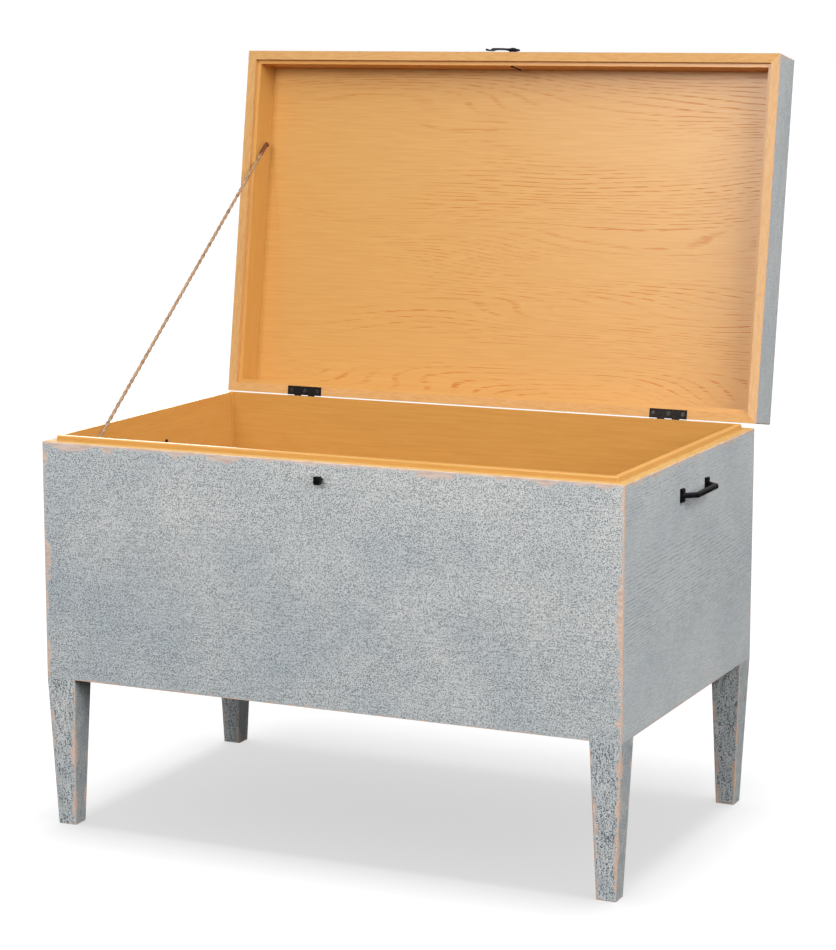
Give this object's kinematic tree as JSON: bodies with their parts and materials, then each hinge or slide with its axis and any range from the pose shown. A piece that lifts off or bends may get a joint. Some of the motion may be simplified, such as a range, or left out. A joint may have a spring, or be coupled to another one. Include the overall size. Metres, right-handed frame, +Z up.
{
  "type": "trunk side table",
  "caption": "Side table made as a lined wooden trunk on square tapered legs, with a hinged lid held open by a stay rope, a swing hook and side handles.",
  "frame": {"origin": "bottom centre of the table's overall box with the lid open, on the floor", "axes": "+X to the right seen from the front, +Y to the back, +Z up"},
  "size_m": [0.7882, 0.6072, 0.9455],
  "materials": {
    "painted_wood": "blue-grey crackled paint, worn to bare wood on the edges",
    "lining_wood": "honey-stained open-grained wood, satin",
    "block_wood": "plain sawn wood",
    "black_iron": "black japanned iron, satin",
    "plated_steel": "zinc plated",
    "rope": "twisted natural fibre",
    "sleeve": "dark brown bound end"
  },
  "bodies": {
    "trunk": {"front_wall": "painted_wood", "back_wall": "painted_wood", "left_wall": "painted_wood", "right_wall": "painted_wood", "front_liner": "lining_wood", "back_liner": "lining_wood", "left_liner": "lining_wood", "right_liner": "lining_wood", "floor_board": "lining_wood", "corner_beads": "lining_wood", "corner_block_front_left": "block_wood", "corner_block_front_right": "block_wood", "corner_block_back_left": "block_wood", "corner_block_back_right": "block_wood", "leg_front_left": "painted_wood", "leg_front_right": "painted_wood", "leg_back_left": "painted_wood", "leg_back_right": "painted_wood", "leg_bolts": "plated_steel", "leg_inserts": "plated_steel", "left_handle": "black_iron", "right_handle": "black_iron", "left_handle_screws": "black_iron", "right_handle_screws": "black_iron", "catch_stud": "black_iron", "left_hinge_box_leaf": "black_iron", "right_hinge_box_leaf": "black_iron", "left_hinge_pin": "black_iron", "right_hinge_pin": "black_iron", "trunk_hinge_screws": "black_iron", "stay_rope": "rope", "rope_lower_sleeve": "sleeve", "rope_lower_screw": "black_iron"},
    "lid": {"lid_front_rail": "painted_wood", "lid_back_rail": "painted_wood", "lid_left_rail": "painted_wood", "lid_right_rail": "painted_wood", "lid_front_liner": "lining_wood", "lid_back_liner": "lining_wood", "lid_left_liner": "lining_wood", "lid_right_liner": "lining_wood", "lid_panel": "painted_wood", "left_hinge_lid_leaf": "black_iron", "right_hinge_lid_leaf": "black_iron", "lid_hinge_screws": "black_iron", "hook_pin": "black_iron", "hook_washer": "black_iron", "rope_upper_sleeve": "sleeve", "rope_upper_screw": "black_iron"},
    "hook": {"hook": "black_iron"}
  },
  "joints": [
    {"name": "lid_hinge", "type": "hinge", "parent": "trunk", "child": "lid", "pos_m": [0, 0.17378, 0.4792], "axis": [1, 0, 0], "range_deg": [0, 98.7], "deforming": ["stay_rope"]},
    {"name": "hook_pivot", "type": "hinge", "parent": "lid", "child": "hook", "pos_m": [0.0095, 0.25441, 0.93869], "axis": [0, 0.1513, 0.9885], "range_deg": [-90, 76.5]}
  ]
}
